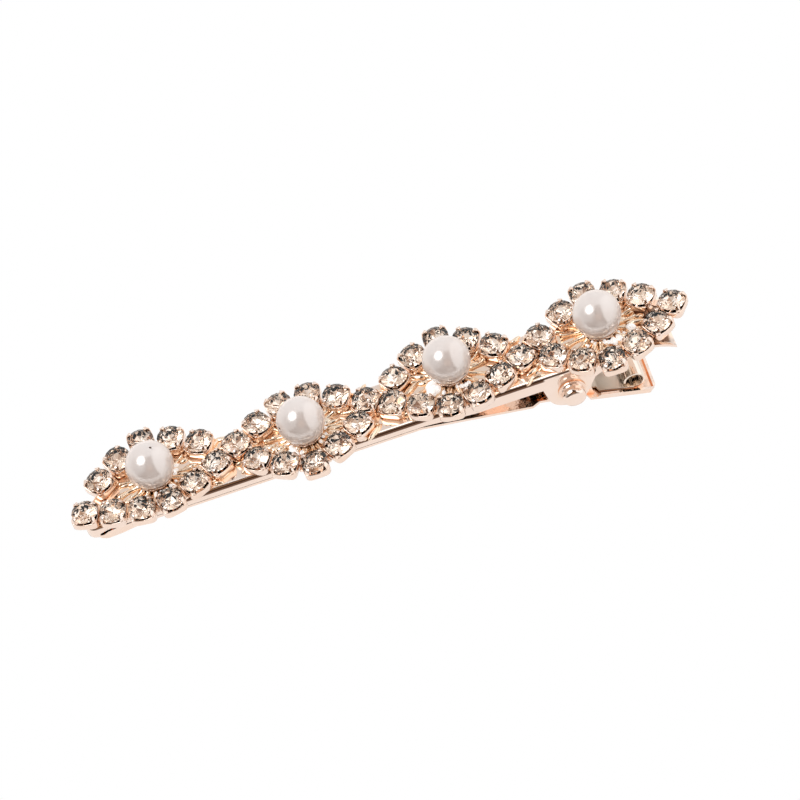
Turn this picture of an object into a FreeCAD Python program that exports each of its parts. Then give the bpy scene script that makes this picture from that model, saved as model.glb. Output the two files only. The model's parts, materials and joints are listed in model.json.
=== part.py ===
import FreeCAD, Part
import math
import os

# Sprung duckbill hair clip, millimetres.
# X runs along the clip: jaw tip at -X, thumb levers at +X. Y runs across it. Z points up, to the stones.
# The shapes are drawn about the centre of the pivot pin. They are moved at the end, so that the origin
# is the middle of the jaw's flat underside.

PIVOT_X = 39.0              # pivot pin ahead of the middle of the jaw, along X
JAW_REST_Z = 1.9            # jaw's flat underside above the pin's centre
TO_ORIGIN = FreeCAD.Vector(PIVOT_X, 0, -JAW_REST_Z)

ARM_WIDTH = 7.5
ARM_SHEET = 0.45            # thickness of the pressed sheet of the upper arm
PLATE_TOP = 3.8             # top of the upper arm's plate
BEND_RADIUS = 0.5           # outer radius of the bend between plate and flange
FRONT_X = -61.7             # front end of the upper arm
NOSE_RADIUS = 1.3           # plan radius of the front corners
NOSE_SLANT_Y = -1.0         # the far part of the nose is cut back at a slant from here
NOSE_SLANT_RUN = 4.7
FLANGE_END_X = 8.0          # the side flanges run out here, behind the ears
LEVER_END_X = 13.7

PIN_RADIUS = 1.45
PIN_OVERHANG = 1.67         # pin beyond each ear
PIN_DOME = 0.35             # rounding of the pin's ends
PIN_COLLAR_RADIUS = 1.75    # collar of the pin against the outside of each ear
PIN_COLLAR_WIDTH = 0.3
PIN_CLEARANCE = 0.05        # radial, in the lower arm's ears

EAR_RADIUS = 2.65           # round end of the upper arm's ears
EAR_CENTRE = (-0.45, -0.15)

JAW_SHEET = 0.4             # thickness of the pressed sheet of the lower arm
JAW_FRONT_X = -60.85
RIM_WIDTH = 0.35
WAIST_HALF_WIDTH = 3.1      # the lower arm passes between the ears here
INNER_EAR_RADIUS = 2.2
INNER_EAR_SHEET = 0.45
TAIL_START = (1.4, -3.15)   # underside of the tray-shaped thumb lever, X and Z
TAIL_END = (9.9, -6.05)
TAIL_RIM_HEIGHT = 0.75
TAIL_CORNER_CUT = 0.7

SPRING_SHEET = 0.3
SPRING_WIDTH = 4.8          # round the pin, between the lower arm's ears
SPRING_TRAY_WIDTH = 6.2     # on the tray, behind the ears
SPRING_WIDE_X = 3.1         # the strip widens here
SPRING_LOOP_RADIUS = 1.72   # middle of the strip, round the pin
SPRING_UPPER_END = (7.5, 3.08)
SPRING_LOWER_END = (7.3, -4.53)
SPRING_CURL_RADIUS = 1.25
SPRING_CURL_TURN = 290.0    # degrees

LOOP_PITCH = 19.15          # from pearl to pearl
FIRST_LOOP_X = -51.8
LOOPS = 4
DECOR_Y = 0.1               # middle line of the stones, a little off the arm's own middle line
PEAK = 0.93                 # 0 swings like a cosine, 1 like a zigzag
WAVE_PITCH = 3.68           # from cup to cup along the long strand
CROSSING_PITCH = 3.47       # the chain is squeezed together where it crosses the middle line
WAVE_STRETCHES = (("front_tip", 1, -61.15), ("loop_1_wave", 4, -57.83), ("crossing_1", 2, -44.0),
                  ("loop_2_wave", 4, -37.9), ("crossing_2", 2, -24.4), ("loop_3_wave", 4, -18.15),
                  ("crossing_3", 2, -4.66), ("loop_4_wave", 4, 1.7), ("rear_tip", 1, 14.9))
WAVE_SWINGS = (4.4, 4.8, 4.2, 5.7)     # half-width of the wave strand in each loop
FRONT_HALF_SPAN = 15.3      # the front tip of the wave stays on one side
ARC_PITCH = 3.72            # from cup to cup along a separate arc
ARC_STONES = 5
ARC_SWINGS = (5.8, 5.8, 6.3, 5.2)      # half-width of the four separate arcs
ARC_SPAN = 19.5
ARC_SHIFTS = (-0.35, 0.05, -0.3, 0.0)  # middle of each arc from its pearl, along the clip
ARC_LEANS = (0.1, 0.02, 0.0, -0.02)  # slope of each arc's ends, across per along

CUP_RADIUS = 1.7
CUP_BORE_RADIUS = 1.52
CUP_HEIGHT = 1.6
CUP_FLOOR = 0.3
PRONG_WIDTH = 0.6
PRONG_THICKNESS = 0.25
PRONG_RISE = 0.35           # above the cup's rim
PRONG_ROOT = 0.4            # below the cup's rim
STONE_RADIUS = 1.5
STONE_TABLE_RADIUS = 0.85
STONE_CROWN = 0.5
STONE_GIRDLE = 0.1
STONE_PAVILION = 1.15
LINK_WIDTH = 0.9
LINK_THICKNESS = 0.3

PEARL_RADIUS = 3.0
PEARL_Z = 7.1
PEARL_OFFSETS = (0.35, -0.55, 1.15, 0.5)    # each pearl sits in the middle of its own loop, across the clip
PEARL_CUP_RADIUS = 2.5
PEARL_CUP_HEIGHT = 1.35
PEARL_SEAT_GAP = 0.02

BIG = 20.0                  # reach of cutting blocks beyond the clip


def vec(x, y, z):
    return FreeCAD.Vector(x, y, z)


def across(points, y_low, y_high):
    """Solid from an outline of (x, z) points, extruded across the clip."""
    outline = [vec(x, y_low, z) for x, z in points]
    wire = Part.makePolygon(outline + outline[:1])
    return Part.Face(wire).extrude(vec(0, y_high - y_low, 0))


def upright(points, z_low, z_high):
    """Solid from a plan outline of (x, y) points, extruded upwards."""
    outline = [vec(x, y, z_low) for x, y in points]
    wire = Part.makePolygon(outline + outline[:1])
    return Part.Face(wire).extrude(vec(0, 0, z_high - z_low))


def disc_across(centre, radius, y_low, y_high):
    """Cylinder whose axis runs across the clip."""
    return Part.makeCylinder(radius, y_high - y_low, vec(centre[0], y_low, centre[1]), vec(0, 1, 0))


def nose_plan(inset, front_x, rear_x):
    """Plan outline of an arm whose nose is square on the near side and slanted on the far side."""
    half = ARM_WIDTH / 2
    slant = math.atan2(NOSE_SLANT_RUN, half - NOSE_SLANT_Y)
    slant_y = NOSE_SLANT_Y - inset * math.tan(slant / 2)
    slant_end_x = front_x + NOSE_SLANT_RUN + inset * math.tan((math.pi / 2 - slant) / 2)
    return [(rear_x, inset - half), (front_x + inset, inset - half), (front_x + inset, slant_y),
            (slant_end_x, half - inset), (rear_x, half - inset)]


def nosed_block(inset, front_x, rear_x, z_low, z_high, bend_radius):
    """Block with that plan, rounded corners and, if wanted, a rounded upper edge."""
    block = upright(nose_plan(inset, front_x, rear_x), z_low, z_high)
    corners = [e for e in block.Edges if e.BoundBox.XMax < rear_x - 0.01 and e.BoundBox.ZLength > 0.01]
    block = block.makeFillet(NOSE_RADIUS - inset, corners)
    if bend_radius:
        upper = [e for e in block.Edges if e.BoundBox.ZMin > z_high - 0.01 and e.BoundBox.XMin < rear_x - 0.01]
        block = block.makeFillet(bend_radius, upper)
    return block


# Upper arm -----------------------------------------------------------------

def upper_side_profile():
    """Side view of the upper arm: nose lip, jaw-tip notch, flange, ear and run-out behind the ear."""
    low_front = [(FRONT_X - 1, PLATE_TOP + 1), (FRONT_X - 1, 2.0), (-60.4, 2.0), (-60.15, 2.55)]
    notch = [(-59.2, 2.84), (-57.8, 3.0), (-56.0, 2.85), (-52.0, 2.36)]
    flange = [(-18.5, 2.36), (-12.0, 1.5), (-3.44, 1.5)]
    ear = [(-3.01, -0.84), (-2.0, -1.6), (0.6, -1.8), (1.83, -1.5), (3.2, 0.96), (4.07, 1.5), (6.0, 2.3)]
    run_out = [(FLANGE_END_X, PLATE_TOP - ARM_SHEET), (FLANGE_END_X, PLATE_TOP + 1)]
    profile = across(low_front + notch + flange + ear + run_out, -ARM_WIDTH, ARM_WIDTH)
    return profile.fuse(disc_across(EAR_CENTRE, EAR_RADIUS, -ARM_WIDTH, ARM_WIDTH))


def lever_section(x, half_width, middle_z, edge_rise):
    """Closed outline of the thumb lever's sheet at one place: a shallow trough open upwards."""
    def surface(drop):
        spread = (-1.0, -0.6, 0.0, 0.6, 1.0)
        points = [vec(x, s * half_width, middle_z + edge_rise * s ** 4 - drop) for s in spread]
        curve = Part.BSplineCurve()
        curve.interpolate(points)
        return curve.toShape(), points
    top, top_points = surface(0)
    bottom, bottom_points = surface(ARM_SHEET)
    near = Part.makeLine(bottom_points[0], top_points[0])
    far = Part.makeLine(top_points[-1], bottom_points[-1])
    return Part.Wire([near, top, far, bottom])


def thumb_lever():
    """The lever dips and widens behind the ears, and its edges curl up towards the end."""
    half = ARM_WIDTH / 2
    sections = [lever_section(FLANGE_END_X, half, PLATE_TOP, 0.0)]
    sections.append(lever_section(9.6, half, PLATE_TOP - 0.25, 0.05))
    sections.append(lever_section(11.6, half + 0.2, PLATE_TOP - 0.8, 0.3))
    sections.append(lever_section(LEVER_END_X, half + 0.75, PLATE_TOP - 1.65, 0.65))
    return Part.makeLoft(sections, True, False)


def upper_arm():
    outer = nosed_block(0, FRONT_X, FLANGE_END_X, -4, PLATE_TOP, BEND_RADIUS)
    inner = nosed_block(ARM_SHEET, FRONT_X, FLANGE_END_X + 1, -5, PLATE_TOP - ARM_SHEET, 0)
    channel = outer.cut(inner).common(upper_side_profile())
    holes = disc_across((0, 0), PIN_RADIUS, -ARM_WIDTH, ARM_WIDTH)
    return channel.fuse(thumb_lever()).cut(holes).removeSplitter()


# Pivot pin -----------------------------------------------------------------

def pivot_pin():
    """Rod with domed ends and a collar outside each ear."""
    face = ARM_WIDTH / 2
    reach = face + PIN_OVERHANG
    pin = disc_across((0, 0), PIN_RADIUS, -reach, reach)
    ends = [e for e in pin.Edges if e.BoundBox.YLength < 0.01]
    pin = pin.makeFillet(PIN_DOME, ends)
    collars = [disc_across((0, 0), PIN_COLLAR_RADIUS, face, face + PIN_COLLAR_WIDTH)]
    collars.append(disc_across((0, 0), PIN_COLLAR_RADIUS, -face - PIN_COLLAR_WIDTH, -face))
    return pin.fuse(collars)


# Lower arm -----------------------------------------------------------------

def tail_point(along, height):
    """Point on the tray-shaped lever: distance behind its start, and height above its underside."""
    run = TAIL_END[0] - TAIL_START[0]
    fall = TAIL_START[1] - TAIL_END[1]
    length = math.hypot(run, fall)
    x = TAIL_START[0] + (along * run + height * fall) / length
    z = TAIL_START[1] + (-along * fall + height * run) / length
    return (x, z)


def jaw():
    """Flat jaw with an upturned, slightly bulging tip, sloping down towards the pin."""
    under = [(-60.85, 1.7), (-60.3, 1.38), (-59.2, 1.2), (-57.6, 1.32), (-55.5, 1.7), (-53.0, JAW_REST_Z)]
    under += [(-19.0, JAW_REST_Z), (-5.2, -1.2), TAIL_START]
    plate_top = [(x, z + JAW_SHEET) for x, z in reversed(under[5:])]
    rim_top = [(-52.0, JAW_REST_Z + JAW_SHEET), (-56.0, 2.72), (-57.8, 2.68), (-59.2, 2.45)]
    rim_top += [(-59.75, 2.1), (-60.2, 1.95), (-60.85, 1.95)]
    side = across(under + plate_top[:-1] + rim_top, -ARM_WIDTH, ARM_WIDTH)
    block = nosed_block(0, JAW_FRONT_X, TAIL_START[0], -6, 6, 0)
    pocket_floor = [(x, z + JAW_SHEET) for x, z in under[:6]]
    pocket_side = across(pocket_floor + [(-52.5, 4), (-60.85, 4)], -ARM_WIDTH, ARM_WIDTH)
    pocket = nosed_block(RIM_WIDTH, JAW_FRONT_X, -45, -6, 6, 0)
    return side.common(block).cut(pocket_side.common(pocket))


def waist_cutters():
    """Plan-view notches that let the lower arm pass between the upper arm's ears."""
    half = ARM_WIDTH / 2
    notch = [(-5.2, half), (-4.2, WAIST_HALF_WIDTH), (TAIL_START[0] + 0.2, WAIST_HALF_WIDTH),
             (TAIL_START[0] + 0.5, half), (TAIL_START[0] + 0.5, half + 1), (-5.2, half + 1)]
    far = upright(notch, -BIG, BIG)
    return far.fuse(far.mirror(vec(0, 0, 0), vec(0, 1, 0)))


def tail():
    """Thumb lever of the lower arm: a tray with a thin upturned rim on three sides."""
    half = ARM_WIDTH / 2
    length = math.hypot(TAIL_END[0] - TAIL_START[0], TAIL_END[1] - TAIL_START[1])
    rim_start = 1.3
    side = [tail_point(-0.5, 0), tail_point(length, 0), tail_point(length, TAIL_RIM_HEIGHT),
            tail_point(rim_start + 0.5, TAIL_RIM_HEIGHT), tail_point(rim_start, JAW_SHEET),
            tail_point(-0.5, JAW_SHEET)]
    body = across(side, -half, half)
    corners = [e for e in body.Edges if e.BoundBox.XMin > TAIL_END[0] - 0.1 and e.BoundBox.YLength < 0.01]
    body = body.makeChamfer(TAIL_CORNER_CUT, corners)
    inside = [tail_point(0, JAW_SHEET), tail_point(length - RIM_WIDTH, JAW_SHEET),
              tail_point(length - RIM_WIDTH, 3), tail_point(0, 3)]
    return body.cut(across(inside, -half + RIM_WIDTH, half - RIM_WIDTH))


def inner_ears():
    ears = []
    for side in (-1, 1):
        y_low = min(side * WAIST_HALF_WIDTH, side * (WAIST_HALF_WIDTH - INNER_EAR_SHEET))
        y_high = y_low + INNER_EAR_SHEET
        web = across([(-INNER_EAR_RADIUS, 0), (-3.4, -1.5), (2.6, -3.3), (INNER_EAR_RADIUS, 0)], y_low, y_high)
        ears.append(web.fuse(disc_across((0, 0), INNER_EAR_RADIUS, y_low, y_high)))
    return ears


def lower_arm():
    body = jaw().fuse(tail()).cut(waist_cutters())
    body = body.fuse(inner_ears())
    bore = disc_across((0, 0), PIN_RADIUS + PIN_CLEARANCE, -ARM_WIDTH, ARM_WIDTH)
    return body.cut(bore).removeSplitter()


# Leaf spring ---------------------------------------------------------------

def on_circle(centre, radius, degrees):
    angle = math.radians(degrees)
    return vec(centre[0] + radius * math.cos(angle), 0, centre[1] + radius * math.sin(angle))


def tangent_angle(point, side):
    """Direction, in degrees, of the loop's tangent point on a line drawn to the given point."""
    distance = math.hypot(point[0], point[1])
    turn = math.degrees(math.acos(SPRING_LOOP_RADIUS / distance))
    return math.degrees(math.atan2(point[1], point[0])) + side * turn


def strip(path, start, along, width):
    """Spring sheet of one width swept along a path that begins at a point, in a given direction."""
    side = vec(0, width / 2, 0)
    up = along.cross(vec(0, 1, 0)) * (SPRING_SHEET / 2)
    corners = [start - side - up, start + side - up, start + side + up, start - side + up]
    section = Part.makePolygon(corners + corners[:1])
    return path.makePipeShell([section], True, False)


def leaf_spring():
    """Strip under the upper lever, round the front of the pin, wider along the tray, ending in a curl."""
    upper = tangent_angle(SPRING_UPPER_END, 1)
    lower = tangent_angle(SPRING_LOWER_END, -1) + 360
    loop = [on_circle((0, 0), SPRING_LOOP_RADIUS, a) for a in (upper, (upper + lower) / 2, lower)]
    start = vec(SPRING_UPPER_END[0], 0, SPRING_UPPER_END[1])
    floor_end = vec(SPRING_LOWER_END[0], 0, SPRING_LOWER_END[1])
    inward = on_circle((0, 0), SPRING_CURL_RADIUS, lower + 180)
    centre = (floor_end.x + inward.x, floor_end.z + inward.z)
    turns = [lower + SPRING_CURL_TURN * part for part in (0, 0.5, 1)]
    curl = [on_circle(centre, SPRING_CURL_RADIUS, a) for a in turns]
    narrow_path = Part.Wire([Part.makeLine(start, loop[0]), Part.Arc(*loop).toShape(),
                             Part.makeLine(loop[2], floor_end)])
    narrow = strip(narrow_path, start, (loop[0] - start).normalize(), SPRING_WIDTH)
    leg = (floor_end - loop[2]).normalize()
    widen = loop[2] + leg * ((SPRING_WIDE_X - loop[2].x) / leg.x)
    wide_path = Part.Wire([Part.makeLine(widen, floor_end), Part.Arc(*curl).toShape()])
    wide = strip(wide_path, widen, leg, SPRING_TRAY_WIDTH)
    return narrow.fuse(wide).removeSplitter()


# Rhinestone chain ----------------------------------------------------------

def loop_x(index):
    return FIRST_LOOP_X + index * LOOP_PITCH


def swing(phase):
    """Runs from -1 to 1 and back like a cosine, with straighter sides and a tighter peak."""
    return math.asin(PEAK * math.cos(phase)) / math.asin(PEAK)


def wave_y(x):
    """Middle line of the long strand: it swings to one side of each pearl in turn."""
    index = min(LOOPS - 1, max(0, round((x - FIRST_LOOP_X) / LOOP_PITCH)))
    offset = x - loop_x(index)
    half_span = FRONT_HALF_SPAN if x < FIRST_LOOP_X else LOOP_PITCH / 2
    side = -1 if index % 2 == 0 else 1
    return DECOR_Y + side * WAVE_SWINGS[index] * swing(math.pi * offset / (2 * half_span))


def arc_x(index):
    """Middle of one separate arc along the clip."""
    return loop_x(index) + ARC_SHIFTS[index]


def arc_y(index, x):
    """Middle line of one separate arc, on the other side of the pearl from the wave."""
    side = 1 if index % 2 == 0 else -1
    offset = x - arc_x(index)
    return DECOR_Y + side * ARC_SWINGS[index] * swing(math.pi * offset / ARC_SPAN) + ARC_LEANS[index] * offset


def step_along(line, x, pitch, direction):
    """Next place on the line, one chain pitch away in a straight line."""
    near, far = 0.0, pitch
    for _ in range(40):
        middle = (near + far) / 2
        rise = line(x + direction * middle) - line(x)
        if math.hypot(middle, rise) < pitch:
            near = middle
        else:
            far = middle
    return x + direction * near


def wave_places():
    """Cup centres of the long strand, stretch by stretch from the front tip to the rear tip."""
    xs = []
    for name, count, start in WAVE_STRETCHES:
        pitch = CROSSING_PITCH if name.startswith("crossing") else WAVE_PITCH
        xs.append(start)
        for _ in range(count - 1):
            xs.append(step_along(wave_y, xs[-1], pitch, 1))
    return [(x, wave_y(x)) for x in xs]


def arc_places(index):
    def line(x):
        return arc_y(index, x)
    xs = [arc_x(index)]
    while len(xs) < ARC_STONES:
        xs.append(step_along(line, xs[-1], ARC_PITCH, 1))
        xs.insert(0, step_along(line, xs[0], ARC_PITCH, -1))
    return [(x, line(x)) for x in xs]


def chain_angle(places, index):
    """Direction of the chain, in degrees, at one of its cups."""
    before = places[max(0, index - 1)]
    after = places[min(len(places) - 1, index + 1)]
    return math.degrees(math.atan2(after[1] - before[1], after[0] - before[0]))


def cup():
    """Stamped cup with four prongs on its diagonals."""
    body = Part.makeCylinder(CUP_RADIUS, CUP_HEIGHT)
    bore = Part.makeCylinder(CUP_BORE_RADIUS, CUP_HEIGHT, vec(0, 0, CUP_FLOOR))
    prongs = []
    for corner in range(4):
        prong = Part.makeBox(PRONG_THICKNESS, PRONG_WIDTH, PRONG_ROOT + PRONG_RISE,
                             vec(CUP_BORE_RADIUS, -PRONG_WIDTH / 2, CUP_HEIGHT - PRONG_ROOT))
        prong.rotate(vec(0, 0, 0), vec(0, 0, 1), 45 + 90 * corner)
        prongs.append(prong)
    return body.fuse(prongs).cut(bore).removeSplitter()


def stone():
    """Round stone: flat table, sloping crown, thin girdle and a pointed back."""
    girdle_low = CUP_HEIGHT - STONE_GIRDLE
    profile = [(0, girdle_low - STONE_PAVILION), (STONE_RADIUS, girdle_low), (STONE_RADIUS, CUP_HEIGHT),
               (STONE_TABLE_RADIUS, CUP_HEIGHT + STONE_CROWN), (0, CUP_HEIGHT + STONE_CROWN)]
    outline = [vec(r, 0, z) for r, z in profile]
    face = Part.Face(Part.makePolygon(outline + outline[:1]))
    return face.revolve(vec(0, 0, 0), vec(0, 0, 1), 360)


def link(first, second):
    """Flat link that fills the gap between two neighbouring cups."""
    length = math.hypot(second[0] - first[0], second[1] - first[1])
    bar = Part.makeBox(length, LINK_WIDTH, LINK_THICKNESS, vec(0, -LINK_WIDTH / 2, PLATE_TOP))
    angle = math.degrees(math.atan2(second[1] - first[1], second[0] - first[0]))
    bar.rotate(vec(0, 0, 0), vec(0, 0, 1), angle)
    bar.translate(vec(first[0], first[1], 0))
    for x, y in (first, second):
        bar = bar.cut(Part.makeCylinder(CUP_RADIUS, BIG, vec(x, y, 0)))
    return bar


def placed(shape, places, index):
    """Copy of a cup or a stone at one place of a chain, turned to face along it."""
    copy = shape.copy()
    copy.rotate(vec(0, 0, 0), vec(0, 0, 1), chain_angle(places, index))
    copy.translate(vec(places[index][0], places[index][1], PLATE_TOP))
    return copy


def chain_nodes():
    one_cup = cup()
    one_stone = stone()
    nodes = {}
    wave = wave_places()
    first = 0
    for name, count, _ in WAVE_STRETCHES:
        members = range(first, first + count)
        nodes[f"{name}_cups"] = [placed(one_cup, wave, i) for i in members]
        nodes[f"{name}_stones"] = [placed(one_stone, wave, i) for i in members]
        first += count
    nodes["wave_links"] = [link(a, b) for a, b in zip(wave, wave[1:])]
    for number in range(1, LOOPS + 1):
        arc = arc_places(number - 1)
        nodes[f"loop_{number}_arc_cups"] = [placed(one_cup, arc, i) for i in range(ARC_STONES)]
        nodes[f"loop_{number}_arc_stones"] = [placed(one_stone, arc, i) for i in range(ARC_STONES)]
        nodes[f"loop_{number}_arc_links"] = [link(a, b) for a, b in zip(arc, arc[1:])]
    return nodes


# Pearls --------------------------------------------------------------------

def pearl_nodes():
    nodes = {}
    for number in range(1, LOOPS + 1):
        place = vec(loop_x(number - 1), DECOR_Y + PEARL_OFFSETS[number - 1], PEARL_Z)
        seat = Part.makeSphere(PEARL_RADIUS + PEARL_SEAT_GAP, place)
        rim = Part.makeCylinder(PEARL_CUP_RADIUS, PEARL_CUP_HEIGHT, vec(place.x, place.y, PLATE_TOP))
        nodes[f"pearl_{number}"] = [Part.makeSphere(PEARL_RADIUS, place)]
        nodes[f"pearl_cup_{number}"] = [rim.cut(seat)]
    return nodes


# Export --------------------------------------------------------------------

def export(name, solids):
    shape = solids[0] if len(solids) == 1 else Part.makeCompound(solids)
    shape.translate(TO_ORIGIN)
    shape.exportStep(f"parts/{name}.step")
    print(name, len(shape.Solids), shape.isValid(), round(shape.Volume, 3))


os.makedirs("parts", exist_ok=True)
clip = {"upper_arm": [upper_arm()], "lower_arm": [lower_arm()], "pivot_pin": [pivot_pin()],
        "leaf_spring": [leaf_spring()]}
for node, solids in {**clip, **pearl_nodes(), **chain_nodes()}.items():
    export(node, solids)
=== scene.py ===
import json
import math
import random

import bmesh
import bpy
from mathutils import Matrix, Vector


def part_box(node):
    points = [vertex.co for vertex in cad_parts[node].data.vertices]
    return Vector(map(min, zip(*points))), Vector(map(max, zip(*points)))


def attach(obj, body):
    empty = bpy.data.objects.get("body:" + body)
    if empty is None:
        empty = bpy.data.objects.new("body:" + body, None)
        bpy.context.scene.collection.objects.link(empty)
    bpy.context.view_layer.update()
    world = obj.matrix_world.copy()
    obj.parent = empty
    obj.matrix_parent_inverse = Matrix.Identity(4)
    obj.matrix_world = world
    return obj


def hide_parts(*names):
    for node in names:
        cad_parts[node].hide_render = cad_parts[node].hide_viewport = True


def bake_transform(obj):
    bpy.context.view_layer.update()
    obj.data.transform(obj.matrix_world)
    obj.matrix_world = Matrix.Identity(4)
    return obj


# Looks of the barrette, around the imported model. Metres, in the same frame as the CAD.

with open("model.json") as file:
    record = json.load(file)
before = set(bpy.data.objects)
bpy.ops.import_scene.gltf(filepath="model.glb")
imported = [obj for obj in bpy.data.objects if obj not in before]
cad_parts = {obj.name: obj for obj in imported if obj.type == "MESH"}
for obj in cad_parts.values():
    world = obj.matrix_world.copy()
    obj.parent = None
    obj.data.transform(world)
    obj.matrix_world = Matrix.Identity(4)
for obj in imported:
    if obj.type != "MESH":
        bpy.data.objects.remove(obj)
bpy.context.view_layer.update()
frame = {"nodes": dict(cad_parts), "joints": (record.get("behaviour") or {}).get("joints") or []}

MM = 0.001
LOOPS = 4
PIVOT = Vector(frame["joints"][0]["pos_m"])
ARM_LOW, ARM_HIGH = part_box("upper_arm")
ARM_WIDTH = 7.5 * MM
PLATE_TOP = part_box("pearl_cup_1")[0].z


# Mesh helpers --------------------------------------------------------------

def new_object(name, bm, materials, smooth=True):
    """Object from a bmesh, with its materials in slot order."""
    mesh = bpy.data.meshes.new(name)
    bmesh.ops.recalc_face_normals(bm, faces=bm.faces)
    bm.to_mesh(mesh)
    bm.free()
    for face in mesh.polygons:
        face.use_smooth = smooth
    for material in materials:
        mesh.materials.append(material)
    obj = bpy.data.objects.new(name, mesh)
    bpy.context.scene.collection.objects.link(obj)
    return obj


def ring(bm, centre, radius, z, count, start=0.0):
    """Vertices on a level circle."""
    verts = []
    for i in range(count):
        angle = start + 2 * math.pi * i / count
        x = centre[0] + radius * math.cos(angle)
        y = centre[1] + radius * math.sin(angle)
        verts.append(bm.verts.new((x, y, z)))
    return verts


def bridge(bm, lower, upper, material=0):
    """Quads between two rings with the same number of vertices."""
    count = len(lower)
    for i in range(count):
        j = (i + 1) % count
        face = bm.faces.new((lower[i], lower[j], upper[j], upper[i]))
        face.material_index = material


def island_centres(node):
    """Plan centre of each separate solid of a CAD node, in order along the clip."""
    mesh = frame["nodes"][node].data
    parent = list(range(len(mesh.vertices)))

    def root(i):
        while parent[i] != i:
            parent[i] = parent[parent[i]]
            i = parent[i]
        return i

    for edge in mesh.edges:
        parent[root(edge.vertices[0])] = root(edge.vertices[1])
    at_same_place = {}
    for i, vertex in enumerate(mesh.vertices):
        key = tuple(round(c * 1e7) for c in vertex.co)
        parent[root(i)] = root(at_same_place.setdefault(key, i))
    groups = {}
    for i, vertex in enumerate(mesh.vertices):
        groups.setdefault(root(i), []).append(vertex.co)
    centres = []
    for points in groups.values():
        xs = [p.x for p in points]
        ys = [p.y for p in points]
        centres.append(Vector(((min(xs) + max(xs)) / 2, (min(ys) + max(ys)) / 2, 0)))
    return sorted(centres, key=lambda c: c.x)


# Node-tree helpers ---------------------------------------------------------

def principled(name):
    """New material with a Principled shader; returns the material, its tree and the shader."""
    material = bpy.data.materials.new(name)
    material.use_nodes = True
    tree = material.node_tree
    return material, tree, tree.nodes["Principled BSDF"]


def noise(tree, scale, detail=3.0, roughness=0.5):
    """Noise over the object's own coordinates, in features per metre."""
    place = tree.nodes.new("ShaderNodeTexCoord")
    texture = tree.nodes.new("ShaderNodeTexNoise")
    texture.inputs["Scale"].default_value = scale
    texture.inputs["Detail"].default_value = detail
    texture.inputs["Roughness"].default_value = roughness
    tree.links.new(place.outputs["Object"], texture.inputs["Vector"])
    return texture.outputs["Fac"]


def ramp(tree, source, low, high, low_value, high_value):
    """Maps a 0 to 1 source onto a range of values."""
    node = tree.nodes.new("ShaderNodeMapRange")
    node.inputs["From Min"].default_value = low
    node.inputs["From Max"].default_value = high
    node.inputs["To Min"].default_value = low_value
    node.inputs["To Max"].default_value = high_value
    tree.links.new(source, node.inputs["Value"])
    return node.outputs["Result"]


def blend_colours(tree, source, low, high, low_colour, high_colour):
    """Colour that runs from one to the other as the source passes from low to high."""
    node = tree.nodes.new("ShaderNodeValToRGB")
    node.color_ramp.elements[0].position = low
    node.color_ramp.elements[0].color = (*low_colour, 1)
    node.color_ramp.elements[1].position = high
    node.color_ramp.elements[1].color = (*high_colour, 1)
    tree.links.new(source, node.inputs["Fac"])
    return node.outputs["Color"]


def bump(tree, shader, height, distance):
    """Small relief on the surface; distance is in metres."""
    node = tree.nodes.new("ShaderNodeBump")
    node.inputs["Distance"].default_value = distance
    tree.links.new(height, node.inputs["Height"])
    tree.links.new(node.outputs["Normal"], shader.inputs["Normal"])


def crevice(tree, reach):
    """1 on open surfaces, falling towards 0 in corners and narrow gaps."""
    node = tree.nodes.new("ShaderNodeAmbientOcclusion")
    node.samples = 8
    node.inputs["Distance"].default_value = reach
    return node.outputs["AO"]


def layer(tree, factor, low, high):
    """Mixes two colours, plain or linked, by a factor."""
    node = tree.nodes.new("ShaderNodeMix")
    node.data_type = "RGBA"
    tree.links.new(factor, node.inputs["Factor"])
    for colour, socket in ((low, node.inputs["A"]), (high, node.inputs["B"])):
        if isinstance(colour, tuple):
            socket.default_value = (*colour, 1)
        else:
            tree.links.new(colour, socket)
    return node.outputs["Result"]


def calculate(tree, operation, first, second):
    """One step of arithmetic on a linked value and a number or another linked value."""
    node = tree.nodes.new("ShaderNodeMath")
    node.operation = operation
    tree.links.new(first, node.inputs[0])
    if isinstance(second, (int, float)):
        node.inputs[1].default_value = second
    else:
        tree.links.new(second, node.inputs[1])
    return node.outputs["Value"]


# Materials -----------------------------------------------------------------

def rose_gold(name, colour, worn, painted_shade, gloss, ripple, reach, openness=0.85):
    """Polished plating: colour drift, painted shade (darker and redder) in corners and gaps, fine scuffs,
    ripples (width, depth).
    """
    material, tree, shader = principled(name)
    shader.inputs["Metallic"].default_value = 1.0
    drift = blend_colours(tree, noise(tree, 350.0), 0.3, 0.7, worn, colour)
    # Painted shade: ambient occlusion blends the colour towards the darker, redder shade colour in corners
    # and gaps.
    unshaded = ramp(tree, crevice(tree, reach), 0.25, openness, 0.0, 1.0)
    tree.links.new(layer(tree, unshaded, painted_shade, drift), shader.inputs["Base Color"])
    scuffs = noise(tree, 4000.0, 6.0, 0.7)
    tree.links.new(ramp(tree, scuffs, 0.35, 0.75, gloss, gloss + 0.07), shader.inputs["Roughness"])
    if ripple:
        width, depth = ripple
        bump(tree, shader, noise(tree, 1 / width, 2.0), depth)
    return material


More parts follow.
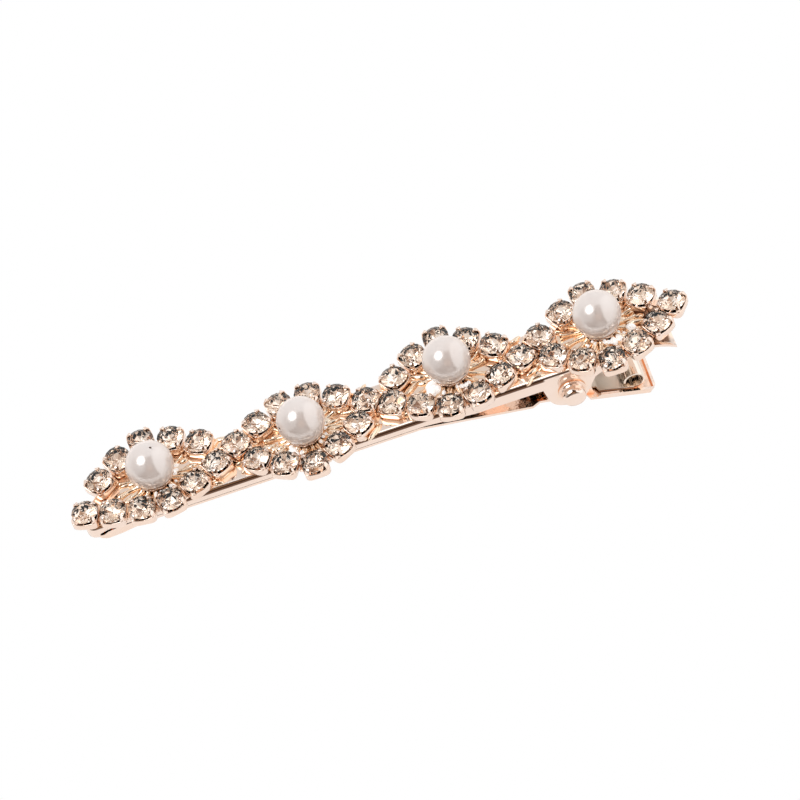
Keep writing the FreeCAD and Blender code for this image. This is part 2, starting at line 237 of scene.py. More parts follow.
def turn_grooves(material, pitch, depth):
    """Lathe grooves: rings round the pivot's axis, on the pin's side and on its ends."""
    tree = material.node_tree
    place = tree.nodes.new("ShaderNodeTexCoord")
    offset = tree.nodes.new("ShaderNodeVectorMath")
    offset.operation = "SUBTRACT"
    offset.inputs[1].default_value = PIVOT
    tree.links.new(place.outputs["Object"], offset.inputs[0])
    split = tree.nodes.new("ShaderNodeSeparateXYZ")
    tree.links.new(offset.outputs["Vector"], split.inputs["Vector"])
    across = calculate(tree, "POWER", split.outputs["X"], 2.0)
    upward = calculate(tree, "POWER", split.outputs["Z"], 2.0)
    radius = calculate(tree, "SQRT", calculate(tree, "ADD", across, upward), 0.0)
    run = calculate(tree, "ADD", radius, calculate(tree, "ABSOLUTE", split.outputs["Y"], 0.0))
    wave = calculate(tree, "SINE", calculate(tree, "MULTIPLY", run, 2 * math.pi / pitch), 0.0)
    bump(tree, tree.nodes["Principled BSDF"], wave, depth)


def steel(tray, curl):
    """Spring steel: flat and dull along the tray, with a darker colour there as painted shade under the
    lever; bright where it is curled.
    """
    material, tree, shader = principled("spring_steel")
    shader.inputs["Metallic"].default_value = 1.0
    place = tree.nodes.new("ShaderNodeTexCoord")
    split = tree.nodes.new("ShaderNodeSeparateXYZ")
    tree.links.new(place.outputs["Object"], split.inputs["Vector"])
    # Painted shade: the tray is given a darker steel colour than the curl.
    curled = ramp(tree, split.outputs["X"], PIVOT.x + 6.2 * MM, PIVOT.x + 6.6 * MM, 0.0, 1.0)
    drift = blend_colours(tree, noise(tree, 400.0), 0.3, 0.7, tray, tuple(0.96 * part for part in tray))
    tree.links.new(layer(tree, curled, drift, curl), shader.inputs["Base Color"])
    scuffs = ramp(tree, noise(tree, 4000.0, 6.0, 0.7), 0.35, 0.75, 0.0, 0.05)
    dull = ramp(tree, curled, 0.0, 1.0, 0.30, 0.07)
    tree.links.new(calculate(tree, "ADD", scuffs, dull), shader.inputs["Roughness"])
    bump(tree, shader, noise(tree, 700.0, 1.0), 0.004 * MM)
    return material


def painted_shade(material, shade, masks):
    """Paints shade into a plated material's colour where every one of the masks is 1."""
    tree = material.node_tree
    base = tree.nodes["Principled BSDF"].inputs["Base Color"]
    mask = masks[0]
    for other in masks[1:]:
        mask = calculate(tree, "MULTIPLY", mask, other)
    tree.links.new(layer(tree, mask, base.links[0].from_socket, shade), base)


def paint_arm_shade(material):
    """Painted shade on the upper arm: in the hollow of the thumb lever, and in a line under the plate's
    edges.
    """
    tree = material.node_tree
    place = tree.nodes.new("ShaderNodeTexCoord")
    spot = tree.nodes.new("ShaderNodeSeparateXYZ")
    facing = tree.nodes.new("ShaderNodeSeparateXYZ")
    tree.links.new(place.outputs["Object"], spot.inputs["Vector"])
    tree.links.new(place.outputs["Normal"], facing.inputs["Vector"])
    aside = calculate(tree, "ABSOLUTE", spot.outputs["Y"], 0.0)
    soft = 0.15 * MM

    def above(source, edge, spread=soft):
        return ramp(tree, source, edge - spread, edge + spread, 0.0, 1.0)

    def below(source, edge, spread=soft):
        return ramp(tree, source, edge - spread, edge + spread, 1.0, 0.0)

    start = ARM_HIGH.x - 4.2 * MM
    flare = 0.19
    margin = ARM_WIDTH / 2 - flare * start - 0.7 * MM
    past_flare = calculate(tree, "SUBTRACT", aside, calculate(tree, "MULTIPLY", spot.outputs["X"], flare))
    # Painted shade: the hollow of the thumb lever is darkened to dark brown.
    hollow = [above(facing.outputs["Z"], 0.4, 0.1),
              above(spot.outputs["X"], start + 0.8 * MM, 0.8 * MM),
              below(past_flare, margin),
              below(spot.outputs["X"], ARM_HIGH.x - 0.55 * MM)]
    painted_shade(material, (0.22, 0.14, 0.10), hollow)
    # Painted shade: a dark line along the sides just under the plate's edges, from the front part back to
    # the pivot.
    edge_line = [above(calculate(tree, "ABSOLUTE", facing.outputs["Y"], 0.0), 0.7, 0.1),
                 above(spot.outputs["X"], ARM_LOW.x + 12 * MM),
                 below(spot.outputs["X"], PIVOT.x - 3 * MM),
                 above(spot.outputs["Z"], PLATE_TOP - 0.62 * MM, 0.05 * MM),
                 below(spot.outputs["Z"], PLATE_TOP - 0.2 * MM, 0.05 * MM)]
    painted_shade(material, (0.15, 0.08, 0.05), edge_line)


def foil():
    """Mirror foil on the back of the stones, wrinkled; every facet has its own tint, from umber to white, as
    painted dark and bright reflections.
    """
    material, tree, shader = principled("stone_foil")
    shader.inputs["Metallic"].default_value = 1.0
    # Painted reflections: a random tint per facet, from dark umber to white, stands in for the dark and
    # bright reflections of the facets.
    island = tree.nodes.new("ShaderNodeNewGeometry").outputs["Random Per Island"]
    tint = blend_colours(tree, island, 0.0, 0.95, (0.36, 0.21, 0.13), (0.99, 0.97, 0.95))
    champagne = tint.node.color_ramp.elements.new(0.3)
    champagne.color = (0.88, 0.78, 0.69, 1)
    tree.links.new(tint, shader.inputs["Base Color"])
    tree.links.new(ramp(tree, noise(tree, 3000.0), 0.3, 0.8, 0.0, 0.04), shader.inputs["Roughness"])
    bump(tree, shader, noise(tree, 1800.0, 1.0), 0.008 * MM)
    return material


def cut_glass():
    """Clear cut glass of the crown and table, with a trace of polish marks."""
    material, tree, shader = principled("stone_glass")
    shader.inputs["Base Color"].default_value = (1.0, 0.98, 0.955, 1)
    shader.inputs["Transmission Weight"].default_value = 1.0
    shader.inputs["IOR"].default_value = 1.56
    tree.links.new(ramp(tree, noise(tree, 5000.0), 0.4, 0.8, 0.0, 0.02), shader.inputs["Roughness"])
    return material


def pearl_coat():
    """Pearl lustre: warm white body under a strongly reflecting skin, with slow colour drift."""
    material, tree, shader = principled("pearl_lustre")
    drift = noise(tree, 300.0)
    pink, cream = (0.78, 0.68, 0.63), (0.80, 0.72, 0.68)
    tree.links.new(blend_colours(tree, drift, 0.35, 0.65, pink, cream), shader.inputs["Base Color"])
    tree.links.new(ramp(tree, noise(tree, 1200.0), 0.3, 0.7, 0.4, 0.5), shader.inputs["Roughness"])
    shader.inputs["Coat Weight"].default_value = 1.0
    shader.inputs["Coat IOR"].default_value = 2.7
    shader.inputs["Coat Roughness"].default_value = 0.16
    return material


def glue():
    """Set white glue: glossy and milky, with a painted glow from a weak emission that keeps it white in
    shade.
    """
    material, tree, shader = principled("set_glue")
    milk = blend_colours(tree, noise(tree, 900.0), 0.3, 0.7, (0.93, 0.91, 0.89), (0.99, 0.98, 0.97))
    tree.links.new(milk, shader.inputs["Base Color"])
    tree.links.new(milk, shader.inputs["Emission Color"])
    # Painted glow: the glue gives off light in its own colour.
    shader.inputs["Emission Strength"].default_value = 0.35
    tree.links.new(ramp(tree, noise(tree, 1500.0), 0.3, 0.7, 0.02, 0.12), shader.inputs["Roughness"])
    return material


def drill_shadow():
    """Inside of a bead's drill hole."""
    material, tree, shader = principled("drill_wall")
    tint = blend_colours(tree, noise(tree, 3000.0), 0.3, 0.7, (0.10, 0.06, 0.04), (0.22, 0.14, 0.10))
    tree.links.new(tint, shader.inputs["Base Color"])
    shader.inputs["Roughness"].default_value = 0.7
    return material


def floor_white():
    """Plain white studio floor: pure white to the camera, softly shaded for what it lights."""
    material, tree, shader = principled("floor_white")
    shader.inputs["Base Color"].default_value = (0.68, 0.67, 0.66, 1)
    shader.inputs["Roughness"].default_value = 1.0
    shader.inputs["Specular IOR Level"].default_value = 0.0
    shader.inputs["Emission Color"].default_value = (1, 0.99, 0.98, 1)
    shader.inputs["Emission Strength"].default_value = 0.16
    plain = tree.nodes.new("ShaderNodeEmission")
    paths = tree.nodes.new("ShaderNodeLightPath")
    choice = tree.nodes.new("ShaderNodeMixShader")
    tree.links.new(paths.outputs["Is Camera Ray"], choice.inputs["Fac"])
    tree.links.new(shader.outputs["BSDF"], choice.inputs[1])
    tree.links.new(plain.outputs["Emission"], choice.inputs[2])
    tree.links.new(choice.outputs["Shader"], tree.nodes["Material Output"].inputs["Surface"])
    return material


# Painted shade colours for the corners and gaps of each plated metal; the last argument of rose_gold is how
# far the painted shade reaches.
RUSSET_SHADE, COPPER_SHADE, UMBER_SHADE = (0.80, 0.42, 0.22), (0.94, 0.68, 0.48), (0.78, 0.55, 0.40)
PRESSED, HAMMERED, STAMPED = (3.8 * MM, 0.012 * MM), (1.1 * MM, 0.04 * MM), (0.9 * MM, 0.015 * MM)
PALE, PINK, PEACH = (0.90, 0.78, 0.71), (0.89, 0.76, 0.68), (0.90, 0.73, 0.62)
GOLD, AMBER, STEEL = (1.00, 0.88, 0.73), (0.98, 0.73, 0.52), (0.86, 0.78, 0.70)
ARM_METAL = rose_gold("arm_rose_gold", PALE, PINK, COPPER_SHADE, 0.08, PRESSED, 3.0 * MM)
JAW_METAL = rose_gold("jaw_rose_gold", PALE, PEACH, RUSSET_SHADE, 0.05, HAMMERED, 3.0 * MM)
PIN_METAL = rose_gold("pin_rose_gold", PALE, PINK, RUSSET_SHADE, 0.05, None, 0.8 * MM)
turn_grooves(PIN_METAL, 1.0 * MM, 0.05 * MM)
CUP_METAL = rose_gold("cup_rose_gold", PALE, PEACH, UMBER_SHADE, 0.05, STAMPED, 0.5 * MM)
SOLDER = rose_gold("gold_solder", GOLD, AMBER, COPPER_SHADE, 0.08, (0.4 * MM, 0.05 * MM), 0.3 * MM)
# The spring's tray colour is darker than STEEL as painted shade under the lever.
SPRING_METAL = steel((0.72, 0.68, 0.63), STEEL)
paint_arm_shade(ARM_METAL)
FOIL = foil()
GLASS = cut_glass()
PEARL = pearl_coat()
GLUE = glue()
DRILL = drill_shadow()


# Arms and pin --------------------------------------------------------------

def round_edges(obj, width, angle):
    """Narrow rounding of every edge sharper than an angle in degrees."""
    rounding = obj.modifiers.new("edge", "BEVEL")
    rounding.width = width
    rounding.segments = 2
    rounding.limit_method = "ANGLE"
    rounding.angle_limit = math.radians(angle)


def dress(node, material, edge):
    """Gives a CAD node its material and a narrow rounded edge."""
    obj = frame["nodes"][node]
    obj.data.materials.clear()
    obj.data.materials.append(material)
    weld = obj.modifiers.new("weld", "WELD")
    weld.merge_threshold = 0.001 * MM
    round_edges(obj, edge, 35)


# Rhinestones ---------------------------------------------------------------

STONE_RADIUS = 1.65 * MM
STONE_SEAT = 1.58 * MM          # girdle above the plate
CUP_HALF_SIDE = 1.64 * MM
CUP_WALL = 0.14 * MM
CUP_RIM = 1.28 * MM             # wall above the plate, at the prongs
CUP_DIP = 0.22 * MM             # how much lower the wall is between them
PRONG_REACH = 1.93 * MM         # middle of the cup to a prong's outside


def brilliant(bm, place, chance):
    """Machine-cut stone: table, star, kite and girdle facets above, spokes of foiled facets below."""
    r = STONE_RADIUS
    spokes = 8
    half_girdle = 0.05 * MM
    origin = (0, 0)
    half_step = math.pi / spokes
    table = ring(bm, origin, 0.56 * r, 0.52 * MM, spokes)
    breaks = ring(bm, origin, 0.80 * r, 0.31 * MM, spokes, half_step)
    top = ring(bm, origin, r, half_girdle, 2 * spokes)
    bottom = ring(bm, origin, r, -half_girdle, 2 * spokes)
    low = ring(bm, origin, 0.44 * r, -0.76 * MM, spokes, half_step)
    culet = bm.verts.new((0, 0, -1.12 * MM))
    for vert in low:
        jitter = [chance.uniform(-most, most) for most in (0.1, 0.1, 0.15)]
        vert.co += Vector(jitter) * MM
    bm.faces.new(table)
    backs = []
    for k in range(spokes):
        after = (k + 1) % spokes
        main, mid, following = top[2 * k], top[2 * k + 1], top[2 * after]
        bm.faces.new((table[k], breaks[k], table[after]))
        bm.faces.new((table[k], breaks[k - 1], breaks[k]))
        bm.faces.new((breaks[k - 1], main, breaks[k]))
        bm.faces.new((breaks[k], main, mid))
        bm.faces.new((breaks[k], mid, following))
        main, mid, following = bottom[2 * k], bottom[2 * k + 1], bottom[2 * after]
        backs.append(bm.faces.new((main, low[k], mid)))
        backs.append(bm.faces.new((mid, low[k], following)))
        backs.append(bm.faces.new((following, low[k], low[after])))
        backs.append(bm.faces.new((low[k], culet, low[after])))
    bridge(bm, bottom, top)
    for face in backs:
        face.material_index = 1
    bmesh.ops.transform(bm, matrix=place, verts=table + breaks + top + bottom + low + [culet])
    bmesh.ops.split_edges(bm, edges=list({edge for face in backs for edge in face.edges}))


def prong(bm, angle, place):
    """Claw that rises from the cup's corner and folds over the stone's edge."""
    width = 0.30 * MM
    thick = 0.16 * MM
    rows = [(PRONG_REACH - 0.02 * MM, 0.5 * MM, 1.0), (PRONG_REACH, 1.1 * MM, 1.0),
            (PRONG_REACH - 0.02 * MM, 1.5 * MM, 1.0), (PRONG_REACH - 0.14 * MM, 1.8 * MM, 0.95),
            (PRONG_REACH - 0.36 * MM, 1.98 * MM, 0.85), (PRONG_REACH - 0.58 * MM, 2.02 * MM, 0.6)]
    loops = []
    for i, (radius, z, share) in enumerate(rows):
        ahead = rows[min(i + 1, len(rows) - 1)]
        behind = rows[max(i - 1, 0)]
        along = Vector((ahead[0] - behind[0], 0, ahead[1] - behind[1])).normalized()
        inward = Vector((-along.z, 0, along.x))
        half = width * share
        outer = Vector((radius, 0, z))
        inner = outer + inward * thick
        corners = [outer + Vector((0, -half, 0)), outer + Vector((0, half, 0)),
                   inner + Vector((0, half, 0)), inner + Vector((0, -half, 0))]
        loops.append([bm.verts.new(c) for c in corners])
    for lower, upper in zip(loops, loops[1:]):
        bridge(bm, lower, upper)
    bm.faces.new(loops[0])
    bm.faces.new(loops[-1])
    verts = [v for loop in loops for v in loop]
    corner = place @ Matrix.Rotation(angle, 4, "Z")
    bmesh.ops.transform(bm, matrix=corner, verts=verts)
    tip = Matrix.Translation((rows[-1][0] + 0.02 * MM, 0, rows[-1][1] - 0.06 * MM))
    bmesh.ops.create_icosphere(bm, subdivisions=2, radius=0.2 * MM, matrix=corner @ tip)


def cup_wall(bm, place):
    """Stamped cup: rounded-square wall on a rolled foot, dipping between the prongs."""
    count = 48

    def loop(half_side, z, dip):
        verts = []
        for i in range(count):
            angle = 2 * math.pi * i / count
            across, along = math.cos(angle), math.sin(angle)
            reach = half_side / (abs(across) ** 5 + abs(along) ** 5) ** 0.2
            height = z - dip * (0.5 + 0.5 * math.cos(4 * angle))
            verts.append(bm.verts.new((reach * across, reach * along, height)))
        return verts

    inside = CUP_HALF_SIDE - CUP_WALL
    soft = 0.04 * MM
    profile = [(CUP_HALF_SIDE - 0.30 * MM, 0.0, 0), (CUP_HALF_SIDE - 0.08 * MM, 0.06 * MM, 0),
               (CUP_HALF_SIDE, 0.22 * MM, 0), (CUP_HALF_SIDE, CUP_RIM - soft, CUP_DIP),
               (CUP_HALF_SIDE - soft, CUP_RIM, CUP_DIP), (inside + soft, CUP_RIM, CUP_DIP),
               (inside, CUP_RIM - soft, CUP_DIP), (inside, 0.45 * MM, 0)]
    loops = [loop(*row) for row in profile]
    for lower, upper in zip(loops, loops[1:]):
        bridge(bm, lower, upper)
    bm.faces.new(loops[0])
    bm.faces.new(loops[-1])
    bmesh.ops.transform(bm, matrix=place, verts=[v for verts in loops for v in verts])


def seat(centre, angle, height=0.0, lean=(0.0, 0.0)):
    """Place of a cup or stone: on the plate, turned along the chain, leaning a little."""
    tilt = Matrix.Rotation(lean[0], 4, "X") @ Matrix.Rotation(lean[1], 4, "Y")
    spot = Vector((centre.x, centre.y, PLATE_TOP + height))
    return Matrix.Translation(spot) @ Matrix.Rotation(angle, 4, "Z") @ tilt


def chain(stretches):
    """Cups and stones of one strand. Stretches are the CAD node names' stems, in order along the clip."""
    owners = [(centre, stem) for stem in stretches for centre in island_centres(f"{stem}_cups")]
    centres = [centre for centre, stem in owners]
    chance = random.Random(stretches[0])
    for stem in stretches:
        cups = bmesh.new()
        stones = bmesh.new()
        for i, (centre, owner) in enumerate(owners):
            if owner != stem:
                continue
            before = centres[max(0, i - 1)]
            after = centres[min(len(centres) - 1, i + 1)]
            angle = math.atan2(after.y - before.y, after.x - before.x)
            cup_wall(cups, seat(centre, angle))
            for corner in range(4):
                prong(cups, math.pi / 4 + corner * math.pi / 2, seat(centre, angle))
            lean = (chance.uniform(-0.11, 0.11), chance.uniform(-0.11, 0.11))
            brilliant(stones, seat(centre, angle + chance.uniform(0, 1), STONE_SEAT, lean), chance)
        cup_piece = new_object(f"{stem}_set_cups", cups, [CUP_METAL])
        round_edges(cup_piece, 0.035 * MM, 40)
        stone_piece = new_object(f"{stem}_cut_stones", stones, [GLASS, FOIL], smooth=False)
        for piece, node, slot in ((cup_piece, "cups", "rose_gold_cup"),
                                  (stone_piece, "stones", "clear_stone")):
            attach(piece, "upper")
            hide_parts(f"{stem}_{node}")


def wave_stretches():
    """Stems of the long strand's nodes, from the front tip to the rear tip."""
    stems = ["front_tip"]
    for number in range(1, LOOPS + 1):
        stems.append(f"loop_{number}_wave")
        if number < LOOPS:
            stems.append(f"crossing_{number}")
    return stems + ["rear_tip"]


# Pearls --------------------------------------------------------------------

PEARL_RADIUS = 3.0 * MM
DRILL_RADIUS = 0.19 * MM
PEARL_CUP_HEIGHT = 1.35 * MM
DRILL_AXES = ((0.30, 0.10, 0.95), (0.9, 0.3, -0.3), (-0.5, 0.8, 0.2), (0.8, 0.5, 0.1))
# Glue smears of each pearl: angle round it, distance from its middle in mm, size in mm.
SMEARS = (((-1.7, 2.9, 0.30), (-1.3, 3.0, 0.26)),
          ((-2.3, 3.1, 0.45), (-2.35, 3.6, 0.36), (-2.1, 3.5, 0.32)),
          ((-2.68, 3.0, 0.72), (-2.5, 3.5, 0.6), (-2.4, 3.0, 0.45)),
          ((-1.25, 3.1, 0.42), (-1.0, 3.2, 0.36), (-0.45, 3.9, 0.48)))


def turn_to(direction):
    """Rotation that carries +Z to a direction."""
    return Vector((0, 0, 1)).rotation_difference(Vector(direction)).to_matrix().to_4x4()


def pearl_middle(number):
    """Centre of a pearl."""
    low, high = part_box(f"pearl_{number}")
    return (low + high) / 2


def pearl(number, drill_axis):
    """Bead with a drill hole at each end of its own axis."""
    bm = bmesh.new()
    count = 96
    mouth = math.asin(DRILL_RADIUS / PEARL_RADIUS)
    rows = 48
    rings = []
    for row in range(rows + 1):
        angle = mouth + (math.pi - 2 * mouth) * row / rows
        rings.append(ring(bm, (0, 0), PEARL_RADIUS * math.sin(angle), PEARL_RADIUS * math.cos(angle), count))
    for upper, lower in zip(rings, rings[1:]):
        bridge(bm, lower, upper)
    for end, side in ((rings[0], 1), (rings[-1], -1)):
        lip = ring(bm, (0, 0), DRILL_RADIUS * 0.85, side * (PEARL_RADIUS - 0.06 * MM), count)
        bottom = ring(bm, (0, 0), DRILL_RADIUS * 0.8, side * (PEARL_RADIUS - 0.6 * MM), count)
        bridge(bm, lip, end)
        bridge(bm, bottom, lip, material=1)
        bm.faces.new(bottom).material_index = 1
    place = Matrix.Translation(pearl_middle(number)) @ turn_to(drill_axis)
    bmesh.ops.transform(bm, matrix=place, verts=bm.verts)
    piece = new_object(f"pearl_bead_{number}", bm, [PEARL, DRILL])
    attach(piece, "upper")
    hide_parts(f"pearl_{number}")


def pearl_cup(number):
    """Thin bowl that hugs the pearl, with a petalled rim."""
    bm = bmesh.new()
    middle = pearl_middle(number)
    count = 96
    petals = 12
    foot_z = PLATE_TOP - middle.z
    rim_z = foot_z + PEARL_CUP_HEIGHT

    def hug(z, gap):
        return math.sqrt(max(0.0, (PEARL_RADIUS + gap) ** 2 - z * z))

    def loop(radius, z, wave):
        verts = ring(bm, (middle.x, middle.y), radius, middle.z + z, count)
        for i, vert in enumerate(verts):
            vert.co.z += wave * math.cos(2 * math.pi * petals * i / count)
        return verts

    gap, sheet = 0.02 * MM, 0.14 * MM
    petal = 0.09 * MM
    heights = [rim_z - 0.12 * MM - (rim_z - foot_z - 0.55 * MM) * part / 3 for part in range(4)]
    loops = [loop(hug(z, gap), z, 0) for z in reversed(heights)]
    loops.append(loop(hug(rim_z, gap), rim_z, petal))
    loops.append(loop(hug(rim_z, gap + sheet) + 0.05 * MM, rim_z - 0.03 * MM, petal))
    loops += [loop(hug(z, gap + sheet), z, 0) for z in heights]
    loops.append(loop(0.9 * MM, foot_z, 0))
    for lower, upper in zip(loops, loops[1:]):
        bridge(bm, lower, upper)
    bm.faces.new(loops[0])
    bm.faces.new(loops[-1])
    piece = new_object(f"pearl_bowl_{number}", bm, [CUP_METAL])
    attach(piece, "upper")
    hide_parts(f"pearl_cup_{number}")


def solder_drop(bm, chance, spot, heading, lengths, width, heights):
    """Flattened drop of solder, drawn out along its heading; lengths and heights are ranges of scale."""
    flat = Matrix.Diagonal((chance.uniform(*lengths), width, chance.uniform(*heights), 1))
    place = Matrix.Translation(spot) @ Matrix.Rotation(heading, 4, "Z") @ flat
    bmesh.ops.create_icosphere(bm, subdivisions=3, radius=chance.uniform(0.3, 0.5) * MM, matrix=place)


def solder_ridge(bm, chance, middle, angle):
    """Rounded ridge of solder that runs out from a pearl, as far as the plate reaches."""
    inner = 1.9 * MM
    reach = chance.uniform(4.3, 5.2) * MM
    bend = chance.uniform(-0.12, 0.12)
    width = chance.uniform(0.30, 0.55) * MM
    height = chance.uniform(0.45, 0.9) * MM
    parts = 8
    steps = 6
    sections = []
    for part in range(parts + 1):
        share = part / parts
        radius = inner + (reach - inner) * share
        heading = angle + bend * share * share
        ahead, across = math.cos(heading), math.sin(heading)
        spot = Vector((middle.x + radius * ahead, middle.y + radius * across, 0))
        if abs(spot.y) > ARM_WIDTH / 2 - 0.3 * MM:
            break
        side = Vector((-across, ahead, 0))
        spread = width * (1.0 - 0.45 * math.sin(math.pi * share))
        rise = height * (1.0 - 0.5 * math.sin(math.pi * share))
        section = []
        for step in range(steps + 1):
            turn = math.pi * step / steps
            lift = PLATE_TOP + 0.01 * MM + rise * math.sin(turn)
            point = spot + side * spread * math.cos(turn)
            section.append(bm.verts.new((point.x, point.y, lift)))
        sections.append(section)
    for first, second in zip(sections, sections[1:]):
        bridge(bm, first, second)
    if len(sections) > 1:
        bm.faces.new(sections[0])
        bm.faces.new(sections[-1])


def solder_arms(number):
    """Drops and ridges of gold solder that tie a pearl's cup to the chain round it."""
    bm = bmesh.new()
    middle = pearl_middle(number)
    chance = random.Random(70 + number)
    drops = 46
    for i in range(drops):
        heading = chance.uniform(0, 2 * math.pi)
        distance = chance.uniform(2.2, 4.6) * MM
        across = middle.y + distance * math.sin(heading)
        spot = Vector((middle.x + distance * math.cos(heading), across, PLATE_TOP))
        if abs(spot.y) < ARM_WIDTH / 2 - 0.4 * MM:
            solder_drop(bm, chance, spot, heading, (1.5, 2.8), 1.0, (0.5, 0.9))
    ridges = 17
    for ridge in range(ridges):
        angle = 2 * math.pi * (ridge + chance.uniform(-0.25, 0.25)) / ridges
        solder_ridge(bm, chance, middle, angle)
    piece = new_object(f"pearl_solder_{number}", bm, [SOLDER])
    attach(piece, "upper")


def crossing_solder(number):
    """Drops of gold solder that have run together on the plate where the two strands cross."""
    bm = bmesh.new()
    first, second = island_centres(f"crossing_{number}_cups")
    middle = (first + second) / 2
    chance = random.Random(90 + number)
    drops = 36
    for i in range(drops):
        along = middle.x + chance.uniform(-4.4, 4.4) * MM
        spot = Vector((along, chance.uniform(-3.3, 3.2) * MM, PLATE_TOP))
        heading = chance.uniform(-0.5, 0.9)
        solder_drop(bm, chance, spot, heading, (1.6, 3.6), 0.8, (0.6, 1.1))
    piece = new_object(f"crossing_solder_{number}", bm, [SOLDER])
    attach(piece, "upper")


def glue_beads(number, smears):
    """White glue squeezed out under a pearl: smears (angle, distance, size in mm) and a few small beads."""
    bm = bmesh.new()
    middle = pearl_middle(number)
    chance = random.Random(40 + number)
    spots = list(smears)
    small_beads = 9
    for i in range(small_beads):
        spots.append((chance.uniform(-2.6, 0.4), chance.uniform(2.5, 3.3), chance.uniform(0.14, 0.26)))
    for angle, distance, size in spots:
        blob = bmesh.ops.create_icosphere(bm, subdivisions=3, radius=size * MM)
        squeeze = Matrix.Diagonal((chance.uniform(1.2, 1.7), chance.uniform(0.8, 1.1), 1.1, 1))
        spot = Vector((middle.x, middle.y, PLATE_TOP + 0.9 * MM))
        spot += Vector((math.cos(angle), math.sin(angle), 0)) * distance * MM
        place = Matrix.Translation(spot) @ Matrix.Rotation(angle, 4, "Z") @ squeeze
        bmesh.ops.transform(bm, matrix=place, verts=blob["verts"])
    piece = new_object(f"pearl_glue_{number}", bm, [GLUE])
    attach(piece, "upper")


# Leaf spring ---------------------------------------------------------------

SPRING_SHEET = 0.3 * MM
SPRING_LOOP_HALF_WIDTH = 2.4 * MM              # between the lower arm's ears
SPRING_TRAY_HALF_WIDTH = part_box("leaf_spring")[1].y
SPRING_WIDE_X = 3.1 * MM                       # the strip widens here, behind the ears
SPRING_LOOP_RADIUS = 1.72 * MM
SPRING_UPPER_END = (7.5 * MM, 3.08 * MM)       # from the pin
SPRING_LOWER_END = (7.3 * MM, -4.53 * MM)
SPRING_CURL_RADIUS = 1.25 * MM
SPRING_CURL_TURN = math.radians(290.0)


def arc_points(centre, radius, start, end, count):
    """Points on an arc in the clip's side view."""
    angles = [start + (end - start) * i / count for i in range(count + 1)]
    return [(centre[0] + radius * math.cos(a), centre[1] + radius * math.sin(a)) for a in angles]


def tangent_angle(point, side):
    """Angle of the loop's tangent point on a line drawn to the given point."""
    turn = math.acos(SPRING_LOOP_RADIUS / math.hypot(*point))
    return math.atan2(point[1], point[0]) + side * turn


def spring_path():
    """Side view of the strip: under the lever, round the front of the pin, along the tray, and its curl."""
    upper = tangent_angle(SPRING_UPPER_END, 1)
    lower = tangent_angle(SPRING_LOWER_END, -1) + 2 * math.pi
    loop = arc_points((0, 0), SPRING_LOOP_RADIUS, upper, lower, 32)
    centre = (SPRING_LOWER_END[0] - SPRING_CURL_RADIUS * math.cos(lower),
              SPRING_LOWER_END[1] - SPRING_CURL_RADIUS * math.sin(lower))
    curl = arc_points(centre, SPRING_CURL_RADIUS, lower, lower + SPRING_CURL_TURN, 32)
    leg = []
    for step in (-1, 1):
        share = (SPRING_WIDE_X + step * 0.15 * MM - loop[-1][0]) / (curl[0][0] - loop[-1][0])
        leg.append((SPRING_WIDE_X + step * 0.15 * MM, loop[-1][1] + share * (curl[0][1] - loop[-1][1])))
    return [SPRING_UPPER_END] + loop + leg + curl


def leaf_spring():
    """Strip bent round the pin, swept from its side view, with rounded edges."""
    bm = bmesh.new()
    path = [Vector((x, 0, z)) for x, z in spring_path()]
    sections = []
    for i, point in enumerate(path):
        along = (path[min(i + 1, len(path) - 1)] - path[max(i - 1, 0)]).normalized()
        out = Vector((-along.z, 0, along.x)) * SPRING_SHEET / 2
        on_tray = point.z < -SPRING_LOOP_RADIUS and point.x > SPRING_WIDE_X
        side = Vector((0, SPRING_TRAY_HALF_WIDTH if on_tray else SPRING_LOOP_HALF_WIDTH, 0))
        corners = [point - side - out, point + side - out, point + side + out, point - side + out]
        sections.append([bm.verts.new(PIVOT + corner) for corner in corners])
    for first, second in zip(sections, sections[1:]):
        bridge(bm, first, second)
    bm.faces.new(sections[0])
    bm.faces.new(sections[-1])
    piece = new_object("bent_leaf_spring", bm, [SPRING_METAL])
    round_edges(piece, 0.06 * MM, 40)
    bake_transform(piece)
    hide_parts("leaf_spring")


# Camera, light and floor ---------------------------------------------------

def camera():
    """Long lens looking down on the clip, rolled so that the clip rises to the right."""
    elevation = math.radians(53.0)
    roll = math.radians(18.5)
    across = Vector((1, 0, 0))
    up = Vector((0, math.sin(elevation), math.cos(elevation)))
    back = across.cross(up)
    right = across * math.cos(roll) - up * math.sin(roll)
    upward = across * math.sin(roll) + up * math.cos(roll)
    near_side = PIVOT + Vector((0, -ARM_WIDTH / 2, 0))
    aim_across, aim_up = -20.38 * MM, 5.43 * MM
    target = near_side + across * aim_across + up * aim_up
    lens = bpy.data.cameras.new("camera")
    lens.lens = 200.0
    lens.sensor_width = 36.0
    view_width = 97.9 * MM
    distance = view_width * lens.lens / lens.sensor_width
    body = bpy.data.objects.new("camera", lens)
    bpy.context.scene.collection.objects.link(body)
    turn = Matrix((right, upward, back)).transposed().to_4x4()
    body.matrix_world = Matrix.Translation(target + back * distance) @ turn
    lens.clip_start = 0.05
    lens.clip_end = 20.0
    bpy.context.scene.camera = body


def patch(tree, direction, centre, inner, outer):
    """1 inside a round patch of the surroundings, 0 outside it, with a soft edge; angles in degrees."""
    dot = tree.nodes.new("ShaderNodeVectorMath")
    dot.operation = "DOT_PRODUCT"
    dot.inputs[1].default_value = Vector(centre).normalized()
    tree.links.new(direction, dot.inputs[0])
    node = tree.nodes.new("ShaderNodeMapRange")
    node.interpolation_type = "SMOOTHSTEP"
    node.inputs["From Min"].default_value = math.cos(math.radians(outer))
    node.inputs["From Max"].default_value = math.cos(math.radians(inner))
    tree.links.new(dot.outputs["Value"], node.inputs["Value"])
    return node.outputs["Result"]


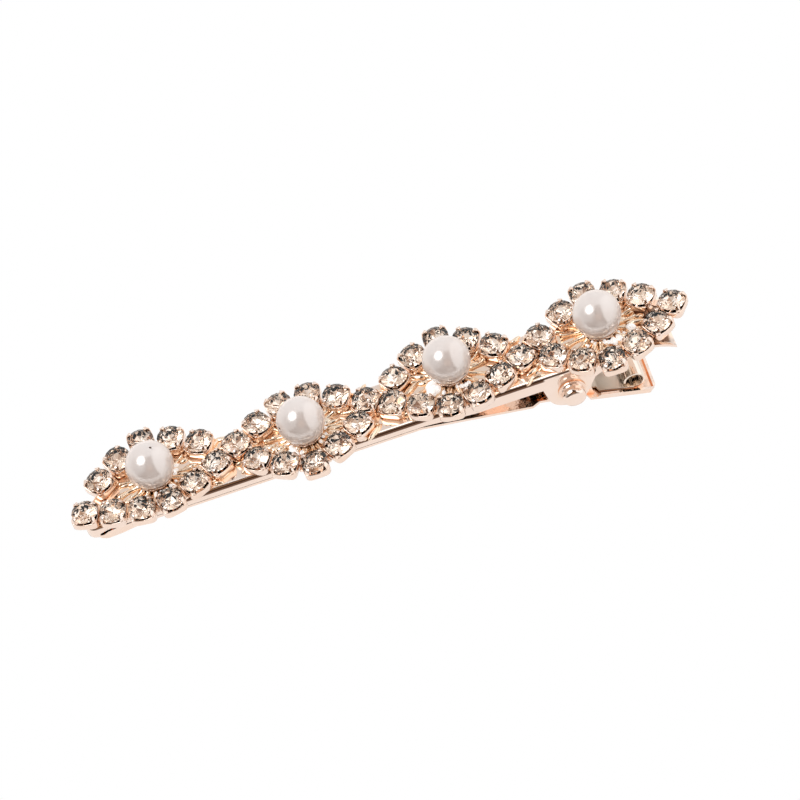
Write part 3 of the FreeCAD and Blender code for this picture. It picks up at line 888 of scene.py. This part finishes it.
def studio():
    """White room seen from a dark corner: bright behind and above, dim and warm on the viewer's side."""
    world = bpy.data.worlds.new("studio")
    bpy.context.scene.world = world
    world.use_nodes = True
    tree = world.node_tree
    background = tree.nodes["Background"]
    place = tree.nodes.new("ShaderNodeTexCoord")
    direction = place.outputs["Generated"]
    lights = [((0.0, -0.90, 0.43), 60, 76, (0.085, 0.045, 0.025)),
              ((0.0, -0.80, 0.60), 6, 20, (0.36, 0.19, 0.10)),
              ((0.0, -1.0, -0.1), 10, 26, (0.34, 0.29, 0.26)),
              ((-0.75, -0.20, 0.60), 24, 44, (0.50, 0.49, 0.48)),
              ((1.0, -0.10, 0.15), 52, 60, (1.25, 1.23, 1.22)),
              ((-0.48, -0.04, 0.88), 8, 25, (4.6, 4.6, 4.6))]
    colour = (0.81, 0.81, 0.82)
    for centre, inner, outer, shade in lights:
        colour = layer(tree, patch(tree, direction, centre, inner, outer), colour, shade)
    paths = tree.nodes.new("ShaderNodeLightPath")
    deep = ramp(tree, paths.outputs["Ray Depth"], 2.0, 3.0, 0.0, 0.28)
    colour = layer(tree, deep, colour, (1.95, 1.68, 1.48))
    seen = layer(tree, paths.outputs["Is Camera Ray"], colour, (1.05, 1.05, 1.05))
    tree.links.new(seen, background.inputs["Color"])


def floor():
    """Plain floor, low enough for the jaw to open above it, reaching further back than forward."""
    bm = bmesh.new()
    half_size = 1.0
    reach_forward = 0.16
    bmesh.ops.create_grid(bm, x_segments=4, y_segments=4, size=half_size)
    obj = new_object("floor", bm, [floor_white()], smooth=False)
    jaw_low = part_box("lower_arm")[0]
    jaw_length = math.hypot(jaw_low.x - PIVOT.x, jaw_low.z - PIVOT.z)
    open_angle = math.radians(frame["joints"][0]["range_deg"][1])
    jaw_drop = jaw_length * math.sin(open_angle) + PIVOT.z - jaw_low.z
    obj.location = (0, half_size - reach_forward, PIVOT.z - jaw_drop)


dress("upper_arm", ARM_METAL, 0.13 * MM)
dress("lower_arm", JAW_METAL, 0.13 * MM)
dress("pivot_pin", PIN_METAL, 0.08 * MM)
leaf_spring()
for number in range(1, LOOPS + 1):
    pearl(number, DRILL_AXES[number - 1])
    pearl_cup(number)
    solder_arms(number)
    glue_beads(number, SMEARS[number - 1])
    dress(f"loop_{number}_arc_links", CUP_METAL, 0.03 * MM)
    chain([f"loop_{number}_arc"])
for number in range(1, LOOPS):
    crossing_solder(number)
dress("wave_links", CUP_METAL, 0.03 * MM)
chain(wave_stretches())

camera()
studio()
floor()
bpy.context.scene.view_settings.view_transform = "Standard"
